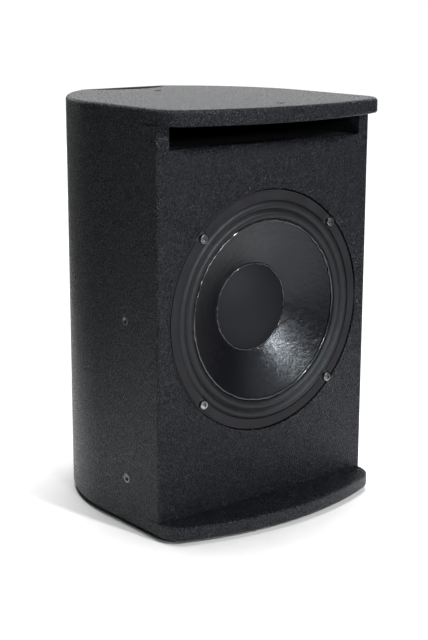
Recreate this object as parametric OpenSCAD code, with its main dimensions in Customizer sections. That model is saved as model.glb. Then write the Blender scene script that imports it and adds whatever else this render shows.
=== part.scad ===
// Passive stage loudspeaker: a wooden cabinet with bent sides and a slot port above one 12-inch driver.
// +Z is up, -Y is the front, and the origin is on the floor under the middle of the cabinet.
// "Cabinet coordinates" put Y = 0 on the baffle's face and Z = 0 on the bottom panel's underside.

/* [Cabinet] */
// Overall width
cab_w = 352; // [352:1:430]
// Height of the wooden box, without its feet
cab_h = 538; // [450:1:650]
// Depth from the baffle's face to the rear panel's face
body_d = 315; // [290:1:400]
// How far the top and bottom panels stand out in front of the baffle, at the middle
lip_d = 61; // [45:1:75]
// Corner radius at each end of the two front lips
lip_corner_r = 35; // [25:1:42]
// Straight depth of each side panel before its bend
side_flat_d = 128; // [100:1:155]
// Outer radius of each side panel's bend
side_bend_r = 225; // [210:1:290]
// Thickness of the plywood of the sides, rear and baffle
ply_t = 18.5; // [15:0.1:22.5]
// Thickness of the top and bottom panels
end_t = 20; // [17:1:24]
// Width of the flat rear panel
rear_w = 148; // [144:1:160]

/* [Slot port] */
// Height of the slot between the baffle and the top panel
slot_h = 30; // [24:1:45]
// Length of the port, from the baffle's face to the end of its floor
port_len = 170; // [120:1:205]
// Thickness of the board that forms the port's floor
shelf_t = 15; // [12:1:18]
// Radius of the round-over on the baffle's top edge
baffle_edge_r = 12; // [8:1:17]
// Length of square edge left at each end of that round-over
edge_stop = 16; // [10:1:30]
// Side of the square battens under the port's floor
batten_w = 18; // [12:1:22]

/* [Bracing and lining] */
// Height of the rear brace's middle above the bottom panel's underside
brace_z = 300; // [240:1:340]
// Thickness of the rear brace
brace_t = 15; // [12:1:18]
// Depth of the rear brace
brace_d = 124; // [110:1:140]
// Width of wood left round the brace's window
brace_rim = 34; // [25:1:38]
// Thickness of the damping foam
foam_t = 25; // [15:1:30]

/* [Hand hold] */
// Width of the crescent cut in the top panel's rear edge
hold_w = 130; // [122:1:140]
// Depth of that crescent
hold_d = 32; // [22:1:40]
// Thickness of the grip bar across the crescent's mouth
bar_t = 5; // [4:0.5:7]
// Length of each end of the bar that is let into the top panel
bar_seat = 8; // [5:1:12]
// Width of the finger pocket under it
pocket_w = 116; // [95:1:122]
// Height of the finger pocket
pocket_h = 55; // [40:1:70]
// How far the pocket reaches in from the rear panel
pocket_d = 42; // [30:1:60]
// Wall of the moulded cup that lines the pocket
cup_t = 4; // [3:0.5:6]

/* [Driver] */
// Outside diameter of the driver's frame
driver_d = 314; // [261:1:314]
// Height of the driver's axis above the bottom panel's underside
driver_z = 270; // [255:1:290]
// Gap round the frame in its rebate
driver_gap = 2; // [0.8:0.1:2.5]
// Thickness of the frame's mounting flange
flange_t = 6; // [4:0.5:7]
// Width of that flange
flange_w = 20.5; // [19:0.5:22]
// Thickness of the front gasket
gasket_t = 2; // [1.5:0.1:3]
// Width of the front gasket
gasket_w = 12; // [10:0.5:13]
// Pitch circle of the driver's screws, inside the frame's edge
screw_inset = 6.5; // [6:0.5:8]
// Width of the ring that the surround spans
surround_w = 24; // [18:0.5:30]
// Height of each roll of the surround
roll_h = 4; // [3:0.5:5.5]
// Thickness of the surround
surround_t = 0.8; // [0.6:0.1:1.2]
// Depth of the dust cap's edge behind the baffle's face
cap_edge_y = 34; // [28:1:38]
// Radius of the dust cap
cap_r = 57; // [48:1:62]
// Height of the dust cap's dome
cap_h = 15; // [8:1:20]
// Thickness of the paper cone
cone_t = 1.2; // [0.8:0.1:2]
// Radius of the voice coil's former
coil_r = 38.1; // [34:0.1:39]
// Travel of the cone each way
cone_travel = 6; // [3:0.5:7]

/* [Motor] */
// Depth of the magnet system's front plate behind the baffle's face
motor_y = 80; // [76:1:90]
// Thickness of the front plate
front_plate_t = 8; // [6:0.5:10]
// Radius of the front plate
front_plate_r = 70; // [66:1:76]
// Radius of the magnet
magnet_r = 78; // [74:1:84]
// Thickness of the magnet
magnet_t = 20; // [15:1:24]
// Thickness of the back plate
back_plate_t = 10; // [8:1:12]
// Running gap on each side of the voice coil
coil_gap = 0.8; // [0.5:0.1:1.2]

/* [Connectors] */
// Width of the connector plate
plate_w = 100; // [90:1:110]
// Height of the connector plate
plate_h = 130; // [110:1:150]
// Thickness of the connector plate
plate_t = 2.5; // [1.5:0.5:3]
// Depth of the plate's rebate in the rear panel
plate_rebate = 6; // [5.5:0.5:7]
// Height of the plate's middle above the bottom panel's underside
plate_z = 150; // [110:1:180]
// Distance between the two sockets
socket_pitch = 56; // [46:1:70]
// Outer radius of each socket's barrel
socket_r = 12; // [11:0.5:13]

/* [Fixing points] */
// Radius of each threaded insert's bore, for M8
insert_bore_r = 3.4; // [2.5:0.1:4.2]
// Radius of each insert's flange
insert_flange_r = 6.4; // [6:0.1:9]
// Depth of the side inserts behind the baffle's face
side_insert_y = 70; // [50:1:90]
// Heights of the two inserts in each side
side_insert_z = [61, 270];
// Depths of the two inserts in the top panel; the first is in the lip
top_insert_y = [-20, 234];

/* [Pole socket and feet] */
// Radius of the pole socket's bore, for a 35 mm pole
pole_r = 17.6; // [17.5:0.1:19]
// Depth of the pole socket's bore
pole_depth = 78; // [60:1:85]
// Depth of the pole socket's axis behind the baffle's face
pole_y = 140; // [110:1:170]
// Radius of the pole socket's flange
pole_flange_r = 42; // [36:1:50]
// Radius of a rubber foot
foot_r = 14; // [10:1:18]
// Height of a rubber foot
foot_h = 5; // [4:0.5:12]
// Places of the feet, as distance from the middle and depth behind the baffle's face
foot_places = [[125, 25], [95, 255]];

/* [Hidden] */
$fn = 96;
eps = 0.02;
// clearances
wood_gap = 0.05;
screw_gap = 0.25;
free_gap = 0.3;
// plan
half_w = cab_w / 2;
inner_half_w = half_w - ply_t;
baffle_y = -(body_d - lip_d) / 2;
// the lip's main arc runs almost tangent into the corner arcs, which end on the baffle's face;
// each corner stands a hair proud of the main arc, so that the two arcs cross cleanly
corner_lap = 0.05;
corner_fit_r = lip_corner_r - corner_lap;
lip_arc_r = (pow(half_w - lip_corner_r, 2) + lip_d * lip_d - corner_fit_r * corner_fit_r)
    / (2 * (lip_d - corner_fit_r));
bend_x = half_w - side_bend_r;
rear_inner_y = body_d - ply_t;
// heights
top_under_z = cab_h - end_t;
slot_z = top_under_z - slot_h;
// hand hold
crescent_r = (hold_w * hold_w / 4 + hold_d * hold_d) / (2 * hold_d);
// driver, by radius
driver_r = driver_d / 2;
rebate_r = driver_r + driver_gap;
seal_t = 1;
rebate_d = gasket_t + flange_t + seal_t;
basket_wall = 3.9;
basket_r = driver_r - flange_w + basket_wall - 0.5;
cut_gap = 0.6;
cut_r = basket_r + cut_gap;
flange_in_r = driver_r - flange_w;
gasket_out_r = driver_r - 1;
gasket_in_r = gasket_out_r - gasket_w;
cuff_w = 3.5;
cuff_t = 1;
screw_ring_r = driver_r - screw_inset;
cone_r = gasket_in_r - surround_w;
cone_edge_y = gasket_t + 0.5;
// the cone is straight from its edge to the dust cap, and on at the same slope to the coil
cone_slope = (cap_edge_y - cone_edge_y) / (cone_r - cap_r);
former_t = 0.4;
winding_t = 0.9;
former_out_r = coil_r + former_t;
neck_y = cap_edge_y + cone_slope * (cap_r - former_out_r);
// the winding stands out of the front plate by the travel, less a quarter of the plate
winding_h = front_plate_t + 2 * (cone_travel - front_plate_t / 4);
winding_y = motor_y + front_plate_t / 2 - winding_h / 2;
former_end_y = winding_y + winding_h;
pole_out_r = coil_r - coil_gap;
plate_bore_r = former_out_r + winding_t + coil_gap;
basket_depth_y = gasket_t + flange_t + 14;
landing_y = motor_y - 20;
landing_t = 3;
landing_r = 92;
landing_in_r = 66;
neck_wall = 4;
base_in_r = plate_bore_r + 5;
spokes = 8;
spoke_w = 14;
magnet_y = motor_y + front_plate_t;
back_plate_y = magnet_y + magnet_t;
motor_end_y = back_plate_y + back_plate_t;
vent_r = 12;
driver_screw_r = 3;
driver_head_r = 5.8;
driver_head_h = 6;
t_nut_flange_r = 9.5;
t_nut_flange_t = 1.5;
t_nut_barrel_r = 3.9;
// connectors
plate_screw_inset = 7;
plate_face_y = body_d - plate_rebate + plate_t;
socket_flange_t = 2;
socket_hole_r = socket_r + 4;
socket_len = 26;
socket_bore_d = 16;
socket_post_r = 5.2;
socket_wall = 1;
socket_flange = [26, 31];
socket_screw_at = [9.6, 12.2];
// terminals
strip_y = landing_y + landing_t;
strip_t = 2;
tag_x = 9;
tag_w = 5;
tag_t = 0.8;
tag_h = 12;
tag_r = 99;
// screws
wood_screw_r = 2;
wood_head_r = 4.2;
wood_head_h = 2;

// ---------- frames and shared shapes ----------

module in_cabinet() {
    translate([0, baffle_y, foot_h]) children();
}

// local z runs back along the driver's axis from the baffle's face
module on_driver_axis() {
    in_cabinet() translate([0, 0, driver_z]) rotate([-90, 0, 0]) children();
}

// local z runs back through the connector plate from the rear panel's face, towards the user
module on_rear_face(z) {
    in_cabinet() translate([0, body_d, z]) rotate([-90, 0, 0]) children();
}

module tube(r_out, r_in, h) {
    difference() {
        cylinder(r = r_out, h = h);
        translate([0, 0, -1]) cylinder(r = r_in, h = h + 2);
    }
}

module ring_of_screws() {
    for (a = [45:90:315]) rotate([0, 0, a]) translate([screw_ring_r, 0, 0]) children();
}

module plate_corners() {
    for (x = [-1, 1], y = [-1, 1])
        translate([x * (plate_w / 2 - plate_screw_inset), y * (plate_h / 2 - plate_screw_inset), 0])
            children();
}

// a countersunk-looking wood screw: its head sits on z = 0 and its shank runs to -z
module wood_screw(len, r = wood_screw_r, head_r = wood_head_r, head_h = wood_head_h) {
    difference() {
        union() {
            cylinder(r = head_r, h = head_h);
            translate([0, 0, -len]) cylinder(r = r, h = len + eps);
        }
        translate([0, 0, head_h / 2]) cylinder(r = head_r * 0.5, h = head_h, $fn = 6);
    }
}

// plan of the box behind the baffle's face, drawn in by "inset" all round
module body_plan(inset = 0) {
    translate([-half_w + inset, 0]) square([cab_w - 2 * inset, side_flat_d]);
    intersection() {
        translate([bend_x, side_flat_d]) circle(r = side_bend_r - inset, $fn = 360);
        translate([-bend_x, side_flat_d]) circle(r = side_bend_r - inset, $fn = 360);
        translate([-half_w, side_flat_d / 2]) square([cab_w, body_d - inset - side_flat_d / 2]);
    }
}

// plan of one lip, from in front of the baffle's face back into the body's plan
module lip_plan() {
    arc_y = lip_arc_r - lip_d;
    corner_x = half_w - lip_corner_r;
    // the arc is used between the two lines from its centre through the corners' centres
    back_y = lip_corner_r;
    front_y = -2 * lip_d;
    back_x = corner_x * (arc_y - back_y) / arc_y;
    front_x = corner_x * (arc_y - front_y) / arc_y;
    intersection() {
        translate([0, arc_y]) circle(r = lip_arc_r, $fn = 720);
        polygon([[-back_x, back_y], [-front_x, front_y], [front_x, front_y], [back_x, back_y]]);
    }
    for (s = [-1, 1]) translate([s * corner_x, 0]) circle(r = lip_corner_r);
}

module end_panel() {
    linear_extrude(end_t) union() {
        body_plan();
        lip_plan();
    }
}

module insert_holes(depth) {
    translate([0, 0, -depth]) cylinder(r = insert_flange_r - 1.2 + wood_gap, h = depth + 1);
    translate([0, 0, -1]) cylinder(r = insert_flange_r + wood_gap, h = 2);
}

// threaded insert with its flange flush at z = 0 and its barrel towards -z
module threaded_insert(len) {
    difference() {
        union() {
            translate([0, 0, -len]) cylinder(r = insert_flange_r - 1.2, h = len);
            translate([0, 0, -1]) cylinder(r = insert_flange_r, h = 1);
        }
        translate([0, 0, -len - 1]) cylinder(r = insert_bore_r, h = len + 2);
    }
}

module at_side_inserts(side) {
    for (z = side_insert_z)
        translate([side * half_w, side_insert_y, z]) rotate([0, side * 90, 0]) children();
}

module at_top_inserts() {
    for (y = top_insert_y) translate([0, y, cab_h]) children();
}

module at_feet() {
    for (p = foot_places, s = [-1, 1]) translate([s * p[0], p[1], 0]) children();
}

module at_pole_screws() {
    for (a = [45:90:315]) rotate([0, 0, a]) translate([(pole_flange_r + pole_r) / 2 + 2, 0, 0]) children();
}

// ---------- wooden box ----------

module top_panel() {
    color([0.13, 0.13, 0.14]) in_cabinet() difference() {
        translate([0, 0, top_under_z]) end_panel();
        translate([0, body_d - hold_d + crescent_r, top_under_z - 1]) cylinder(r = crescent_r, h = end_t + 2);
        at_top_inserts() insert_holes(end_t + 1);
        grip_bar_block();
    }
}

module grip_bar_block() {
    translate([-hold_w / 2 - bar_seat, body_d - bar_t, top_under_z - 1])
        cube([hold_w + 2 * bar_seat, bar_t + 1, end_t + 2]);
}

// flush with the top panel's rear face and upper face
module grip_bar() {
    color([0.09, 0.09, 0.09]) in_cabinet() intersection() {
        translate([0, 0, top_under_z]) end_panel();
        grip_bar_block();
    }
}

module bottom_panel() {
    color([0.12, 0.12, 0.13]) in_cabinet() difference() {
        end_panel();
        translate([0, pole_y, -1]) cylinder(r = pole_r + 2 + screw_gap, h = end_t + 2);
        translate([0, pole_y, 0]) at_pole_screws() wood_hole(14);
        at_feet() wood_hole(14);
    }
}

// a pilot hole upwards from z = 0
module wood_hole(len) {
    translate([0, 0, -1]) cylinder(r = wood_screw_r + wood_gap, h = len + 2);
}

// the sides and the rear, open at the front
module wall_ring() {
    linear_extrude(top_under_z - end_t) difference() {
        body_plan();
        body_plan(ply_t);
        translate([-inner_half_w, -1]) square([2 * inner_half_w, 2]);
    }
}

// thick sides are relieved round the driver's frame
module side_panel(side) {
    difference() {
        in_cabinet() translate([0, 0, end_t]) intersection() {
            wall_ring();
            translate([side > 0 ? rear_w / 2 : -rear_w / 2 - cab_w, -1, -1]) cube([cab_w, body_d + 2, cab_h]);
        }
        in_cabinet() at_side_inserts(side) insert_holes(ply_t + 1);
        on_driver_axis() translate([0, 0, -1]) cylinder(r = driver_r + free_gap, h = rebate_d + 1);
    }
}

module left_side_panel() {
    color([0.09, 0.09, 0.1]) side_panel(-1);
}

module right_side_panel() {
    color([0.09, 0.09, 0.1]) side_panel(1);
}

module rear_panel() {
    color([0.11, 0.11, 0.12]) difference() {
        in_cabinet() translate([0, 0, end_t]) intersection() {
            wall_ring();
            translate([-rear_w / 2, -1, -1]) cube([rear_w, body_d + 2, cab_h]);
        }
        in_cabinet() translate([-pocket_w / 2, rear_inner_y - 30, top_under_z - pocket_h])
            cube([pocket_w, ply_t + 60, pocket_h + 1]);
        on_rear_face(plate_z) {
            translate([-plate_w / 2 - screw_gap, -plate_h / 2 - screw_gap, -plate_rebate])
                cube([plate_w + 2 * screw_gap, plate_h + 2 * screw_gap, plate_rebate + 1]);
            for (s = [-1, 1]) translate([0, s * socket_pitch / 2, -ply_t - 20])
                cylinder(r = socket_hole_r, h = ply_t + 30);
            plate_corners() translate([0, 0, -plate_rebate - 10])
                cylinder(r = wood_screw_r + wood_gap, h = 12);
        }
    }
}

module front_baffle() {
    edge_len = 2 * (inner_half_w - edge_stop);
    color([0.14, 0.14, 0.15]) difference() {
        in_cabinet() translate([-inner_half_w, 0, end_t])
            cube([2 * inner_half_w, ply_t, slot_z - end_t]);
        in_cabinet() translate([-edge_len / 2, 0, slot_z]) difference() {
            translate([0, -baffle_edge_r, -baffle_edge_r]) cube([edge_len, 2 * baffle_edge_r, 2 * baffle_edge_r]);
            translate([-1, baffle_edge_r, -baffle_edge_r]) rotate([0, 90, 0])
                cylinder(r = baffle_edge_r, h = edge_len + 2);
            translate([-1, baffle_edge_r, -baffle_edge_r - 1])
                cube([edge_len + 2, baffle_edge_r + 1, 2 * baffle_edge_r + 2]);
        }
        on_driver_axis() {
            translate([0, 0, -1]) cylinder(r = rebate_r, h = rebate_d + 1);
            translate([0, 0, -1]) cylinder(r = cut_r, h = ply_t + 2);
            ring_of_screws() cylinder(r = t_nut_barrel_r + wood_gap, h = ply_t + 1);
        }
    }
}

module port_shelf() {
    color([0.1, 0.1, 0.1]) in_cabinet() translate([0, 0, slot_z - shelf_t])
        linear_extrude(shelf_t) intersection() {
            body_plan(ply_t + wood_gap);
            translate([-half_w, ply_t]) square([cab_w, port_len - ply_t]);
        }
}

module shelf_battens() {
    color([0.62, 0.48, 0.3]) in_cabinet() for (s = [-1, 1])
        translate([s * (inner_half_w - batten_w / 2) - batten_w / 2, ply_t, slot_z - shelf_t - batten_w])
            cube([batten_w, side_flat_d - ply_t, batten_w]);
}

module rear_brace() {
    front_y = rear_inner_y - brace_d;
    window_w = 2 * (inner_half_w - brace_rim) - 70;
    color([0.66, 0.52, 0.33]) in_cabinet() translate([0, 0, brace_z - brace_t / 2])
        linear_extrude(brace_t) difference() {
            intersection() {
                body_plan(ply_t + wood_gap);
                translate([-half_w, front_y]) square([cab_w, brace_d]);
            }
            translate([-window_w / 2, front_y + brace_rim]) square([window_w, brace_d - 2 * brace_rim]);
        }
}

module hand_hold_cup() {
    cup_w = pocket_w + 2 * cup_t;
    color([0.07, 0.07, 0.07]) in_cabinet()
        translate([0, rear_inner_y - pocket_d - cup_t, top_under_z - pocket_h - cup_t]) difference() {
            translate([-cup_w / 2, 0, 0]) cube([cup_w, pocket_d + cup_t, pocket_h + cup_t]);
            translate([-pocket_w / 2, cup_t, cup_t]) cube([pocket_w, pocket_d + 1, pocket_h + 1]);
        }
}

// foam pads on the straight part of the sides, behind the driver's frame
module side_lining() {
    pad_y = basket_depth_y + 23;
    low = end_t + 12;
    high = slot_z - shelf_t - batten_w - 8;
    color([0.2, 0.2, 0.21]) in_cabinet() for (s = [-1, 1])
        translate([s * (inner_half_w - foam_t / 2) - foam_t / 2, pad_y, low])
            cube([foam_t, side_flat_d - 5 - pad_y, high - low]);
}

module rear_lining() {
    low = brace_z + brace_t / 2;
    high = top_under_z - pocket_h - cup_t - 10;
    color([0.2, 0.2, 0.21]) in_cabinet()
        translate([-rear_w / 2 + 10, rear_inner_y - foam_t, low]) cube([rear_w - 20, foam_t, high - low]);
}

// ---------- connectors ----------

module connector_plate() {
    color([0.08, 0.08, 0.08]) on_rear_face(plate_z) difference() {
        translate([-plate_w / 2, -plate_h / 2, -plate_rebate]) cube([plate_w, plate_h, plate_t]);
        for (s = [-1, 1]) translate([0, s * socket_pitch / 2, -plate_rebate - 1]) {
            cylinder(r = socket_r + screw_gap, h = plate_t + 2);
            at_socket_screws() cylinder(r = 1.5 + wood_gap, h = plate_t + 2);
        }
        plate_corners() translate([0, 0, -plate_rebate - 1]) cylinder(r = wood_screw_r + screw_gap, h = plate_t + 2);
    }
}

module at_socket_screws() {
    for (s = [-1, 1]) translate([s * socket_screw_at[0], s * socket_screw_at[1], 0]) children();
}

module plate_screws() {
    color([0.15, 0.15, 0.15]) on_rear_face(plate_z) plate_corners()
        translate([0, 0, plate_t - plate_rebate]) wood_screw(plate_t + 9);
}

// square flange on the plate and a round barrel behind it, with a central post in the cavity
module input_socket() {
    tail = socket_flange_t - socket_len;
    translate([0, 0, plate_t - plate_rebate]) {
        difference() {
            union() {
                translate([-socket_flange[0] / 2, -socket_flange[1] / 2, 0])
                    cube([socket_flange[0], socket_flange[1], socket_flange_t]);
                translate([0, 0, tail]) cylinder(r = socket_r, h = socket_len - socket_flange_t + eps);
            }
            translate([0, 0, socket_flange_t - socket_bore_d])
                cylinder(r = socket_r - socket_wall, h = socket_bore_d + 1);
            at_socket_screws() translate([0, 0, -1]) cylinder(r = 1.5 + wood_gap, h = socket_flange_t + 2);
        }
        translate([0, 0, socket_flange_t - socket_bore_d - 1]) cylinder(r = socket_post_r, h = socket_bore_d - 1);
        for (s = [-1, 1]) translate([s * 5 - tag_w / 2, -tag_t / 2, tail - 9]) cube([tag_w, tag_t, 9 + eps]);
    }
}

module upper_socket() {
    color([0.05, 0.05, 0.06]) on_rear_face(plate_z) translate([0, -socket_pitch / 2, 0]) input_socket();
}

module lower_socket() {
    color([0.05, 0.05, 0.06]) on_rear_face(plate_z) translate([0, socket_pitch / 2, 0]) input_socket();
}

module socket_screws() {
    color([0.3, 0.3, 0.3]) on_rear_face(plate_z) for (s = [-1, 1])
        translate([0, s * socket_pitch / 2, plate_t - plate_rebate + socket_flange_t])
            at_socket_screws() wood_screw(socket_flange_t + plate_t, 1.5, 2.6, 1.2);
}

// ---------- fixing points ----------

module left_inserts() {
    color([0.25, 0.25, 0.26]) in_cabinet() at_side_inserts(-1) threaded_insert(ply_t - 1);
}

module right_inserts() {
    color([0.25, 0.25, 0.26]) in_cabinet() at_side_inserts(1) threaded_insert(ply_t - 1);
}

module top_inserts() {
    color([0.25, 0.25, 0.26]) in_cabinet() at_top_inserts() threaded_insert(end_t - 1);
}

module pole_socket() {
    flange_t_low = 2.5;
    color([0.12, 0.12, 0.13]) in_cabinet() translate([0, pole_y, 0]) difference() {
        union() {
            translate([0, 0, -flange_t_low]) cylinder(r = pole_flange_r, h = flange_t_low);
            translate([0, 0, -flange_t_low]) cylinder(r = pole_r + 2, h = pole_depth + 2);
        }
        translate([0, 0, -flange_t_low - 1]) cylinder(r = pole_r, h = pole_depth + 1);
        at_pole_screws() translate([0, 0, -flange_t_low - 1]) cylinder(r = wood_screw_r + screw_gap, h = flange_t_low + 2);
    }
}

module pole_socket_screws() {
    color([0.3, 0.3, 0.3]) in_cabinet() translate([0, pole_y, -2.5]) at_pole_screws()
        mirror([0, 0, 1]) wood_screw(14, head_h = 1.6);
}

module rubber_feet() {
    color([0.06, 0.06, 0.06]) in_cabinet() at_feet() translate([0, 0, -foot_h]) difference() {
        cylinder(r = foot_r, h = foot_h);
        translate([0, 0, -1]) cylinder(r = wood_screw_r + screw_gap, h = foot_h + 2);
        translate([0, 0, -1]) cylinder(r = wood_head_r + 1, h = foot_h - 1);
    }
}

module foot_screws() {
    color([0.45, 0.45, 0.46]) in_cabinet() at_feet() translate([0, 0, -2]) mirror([0, 0, 1])
        wood_screw(14, head_h = 1.6);
}

// ---------- driver ----------

module driver_frame() {
    color([0.1, 0.1, 0.11]) on_driver_axis() difference() {
        union() {
            translate([0, 0, gasket_t]) tube(driver_r, flange_in_r, flange_t);
            translate([0, 0, gasket_t + flange_t - eps])
                tube(basket_r, basket_r - basket_wall, basket_depth_y - gasket_t - flange_t);
            translate([0, 0, landing_y]) tube(landing_r, landing_in_r, landing_t);
            translate([0, 0, landing_y]) tube(landing_in_r + neck_wall, landing_in_r, motor_y - landing_y);
            translate([0, 0, motor_y - 3]) tube(landing_in_r + neck_wall, base_in_r, 3);
            for (i = [0:spokes - 1]) rotate([0, 0, (i + 0.5) * 360 / spokes]) spoke();
        }
        ring_of_screws() cylinder(r = driver_screw_r + screw_gap, h = 20);
    }
}

module spoke() {
    rotate([90, 0, 0]) linear_extrude(spoke_w, center = true) polygon([
        [basket_r - basket_wall + 0.4, basket_depth_y - 4],
        [basket_r - 0.4, basket_depth_y - 4],
        [basket_r - 0.4, basket_depth_y + 4],
        [landing_r, landing_y + landing_t],
        [landing_r - 8, landing_y + landing_t],
        [landing_r - 8, landing_y]
    ]);
}

module driver_seal() {
    color([0.05, 0.05, 0.05]) on_driver_axis() translate([0, 0, gasket_t + flange_t]) difference() {
        tube(driver_r - 0.5, cut_r + 0.4, seal_t);
        ring_of_screws() translate([0, 0, -1]) cylinder(r = t_nut_barrel_r + 0.5, h = 4);
    }
}

// four arcs of card, each ending beside a screw head
module front_gasket() {
    end_gap = asin((driver_head_r + 2.2) / screw_ring_r);
    color([0.16, 0.16, 0.16]) on_driver_axis() for (a = [45:90:315])
        rotate([0, 0, a + end_gap]) rotate_extrude(angle = 90 - 2 * end_gap, $fn = 180) polygon([
            [gasket_out_r, 0],
            [gasket_out_r, gasket_t],
            [gasket_in_r + cuff_w + wood_gap, gasket_t],
            [gasket_in_r + cuff_w + wood_gap, gasket_t - cuff_t - wood_gap],
            [gasket_in_r + wood_gap, gasket_t - cuff_t - wood_gap],
            [gasket_in_r + wood_gap, 0]
        ]);
}

module driver_screws() {
    color([0.5, 0.5, 0.52]) on_driver_axis() ring_of_screws() translate([0, 0, gasket_t]) difference() {
        union() {
            translate([0, 0, -driver_head_h]) cylinder(r = driver_head_r, h = driver_head_h);
            translate([0, 0, -eps]) cylinder(r = driver_screw_r, h = ply_t + 4);
        }
        translate([0, 0, -driver_head_h - 1]) cylinder(r = 2.9, h = 4.2, $fn = 6);
    }
}

module t_nuts() {
    barrel = ply_t - rebate_d - 1;
    color([0.6, 0.6, 0.62]) on_driver_axis() ring_of_screws() difference() {
        union() {
            translate([0, 0, ply_t]) cylinder(r = t_nut_flange_r, h = t_nut_flange_t);
            translate([0, 0, ply_t - barrel]) cylinder(r = t_nut_barrel_r, h = barrel + eps);
        }
        translate([0, 0, ply_t - barrel - 1]) cylinder(r = driver_screw_r + wood_gap, h = barrel + 4);
    }
}

// section of one roll of the surround, bulging to the front from the flange's face
module roll_section(mid, half) {
    r = (half * half + roll_h * roll_h) / (2 * roll_h);
    translate([mid, gasket_t]) intersection() {
        difference() {
            translate([0, r - roll_h]) circle(r = r);
            translate([0, r - roll_h]) circle(r = r - surround_t);
        }
        translate([-half - 1, -roll_h - 1]) square([2 * half + 2, roll_h + 1]);
    }
}

// two rolls and a flat outer cuff, which is notched round each screw head
module surround() {
    inner = cone_r + free_gap;
    outer = gasket_in_r;
    half = (outer - inner + surround_t) / 4;
    color([0.07, 0.07, 0.07]) on_driver_axis() difference() {
        rotate_extrude($fn = 180) union() {
            roll_section(outer - half, half);
            roll_section(inner + half, half);
            translate([outer - 1.2, gasket_t - cuff_t]) square([cuff_w + 1.2, cuff_t]);
        }
        ring_of_screws() cylinder(r = driver_head_r + free_gap, h = gasket_t + 1);
    }
}

module cone() {
    color([0.09, 0.09, 0.09]) on_driver_axis() rotate_extrude($fn = 180) polygon([
        [cone_r, cone_edge_y],
        [cone_r, cone_edge_y + cone_t],
        [former_out_r, neck_y + cone_t],
        [former_out_r, neck_y]
    ]);
}

module dust_cap() {
    dome_r = (cap_r * cap_r + cap_h * cap_h) / (2 * cap_h);
    color([0.13, 0.13, 0.13]) on_driver_axis() rotate_extrude($fn = 180) intersection() {
        translate([0, cap_edge_y - cap_h + dome_r]) difference() {
            circle(r = dome_r, $fn = 360);
            circle(r = dome_r - 0.8, $fn = 360);
        }
        translate([0, cap_edge_y - cap_h - 1]) square([cap_r + 5, cap_h + 1 - wood_gap]);
    }
}

module coil_former() {
    color([0.55, 0.4, 0.2]) on_driver_axis() translate([0, 0, neck_y])
        tube(former_out_r, coil_r, former_end_y - neck_y);
}

module coil_winding() {
    color([0.6, 0.3, 0.12]) on_driver_axis() translate([0, 0, winding_y])
        tube(former_out_r + winding_t, former_out_r, winding_h);
}

// corrugated disc between the coil's former and the frame's landing ring
module spider() {
    inner = former_out_r + free_gap;
    outer = landing_in_r + 6;
    waves = 4;
    amp = 1.6;
    steps = 8;
    base_y = landing_y - amp - 0.5;
    pitch = (landing_in_r - 1 - inner) / waves;
    line = [for (i = [0:waves * steps]) [inner + i * pitch / steps, base_y - amp * sin(i * 360 / steps)]];
    back = [for (i = [waves * steps:-1:0]) [line[i][0], line[i][1] + 0.5]];
    color([0.75, 0.6, 0.35]) on_driver_axis() rotate_extrude($fn = 120) polygon(concat(
        line,
        [[outer, base_y], [outer, landing_y], [landing_in_r + 0.5, landing_y], [landing_in_r + 0.5, base_y + 0.5]],
        back
    ));
}

module front_plate() {
    color([0.45, 0.45, 0.47]) on_driver_axis() translate([0, 0, motor_y])
        tube(front_plate_r, plate_bore_r, front_plate_t);
}

module magnet() {
    color([0.18, 0.18, 0.19]) on_driver_axis() translate([0, 0, magnet_y])
        tube(magnet_r, plate_bore_r + 8, magnet_t);
}

module back_plate() {
    color([0.45, 0.45, 0.47]) on_driver_axis() difference() {
        union() {
            translate([0, 0, back_plate_y]) cylinder(r = front_plate_r + 3, h = back_plate_t);
            translate([0, 0, motor_y]) cylinder(r = pole_out_r, h = motor_end_y - motor_y);
        }
        translate([0, 0, motor_y - 1]) cylinder(r = vent_r, h = motor_end_y - motor_y + 2);
    }
}

// board with two tags on the back of the landing ring, below the axis
module terminal_strip() {
    color([0.5, 0.36, 0.18]) on_driver_axis() {
        translate([-20, landing_in_r + 14, strip_y]) cube([40, 26, strip_t]);
        for (s = [-1, 1]) translate([s * tag_x - tag_w / 2, tag_r - tag_t / 2, strip_y + strip_t - eps])
            cube([tag_w, tag_t, tag_h]);
    }
}

// ---------- leads ----------

function unit(v) = v / norm(v);
function along(path, i) = unit(path[min(i + 1, len(path) - 1)] - path[max(i - 1, 0)]);

// points of a smooth curve through hand-placed points, "n" to each stretch
function curve_point(p, i, t) =
    let (
        a = p[max(i - 1, 0)], b = p[i],
        c = p[min(i + 1, len(p) - 1)], d = p[min(i + 2, len(p) - 1)]
    )
    0.5 * (2 * b + (c - a) * t + (2 * a - 5 * b + 4 * c - d) * t * t + (3 * b - a - 3 * c + d) * t * t * t);
function smooth_path(p, n) = concat(
    [for (i = [0:len(p) - 2], k = [0:n - 1]) curve_point(p, i, k / n)],
    [p[len(p) - 1]]
);

module sweep(path, r, sides = 8) {
    rings = len(path);
    points = [for (i = [0:rings - 1])
        let (
            t = along(path, i),
            u = unit(cross(t, abs(t[0]) < 0.9 ? [1, 0, 0] : [0, 0, 1])),
            v = cross(t, u)
        )
        for (k = [0:sides - 1]) path[i] + r * (cos(k * 360 / sides) * u + sin(k * 360 / sides) * v)];
    faces = concat(
        [[for (k = [0:sides - 1]) k]],
        [for (i = [0:rings - 2], k = [0:sides - 1])
            [i * sides + k, (i + 1) * sides + k, (i + 1) * sides + (k + 1) % sides, i * sides + (k + 1) % sides]],
        [[for (k = [sides - 1:-1:0]) (rings - 1) * sides + k]]
    );
    polyhedron(points = points, faces = faces, convexity = 6);
}

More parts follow.
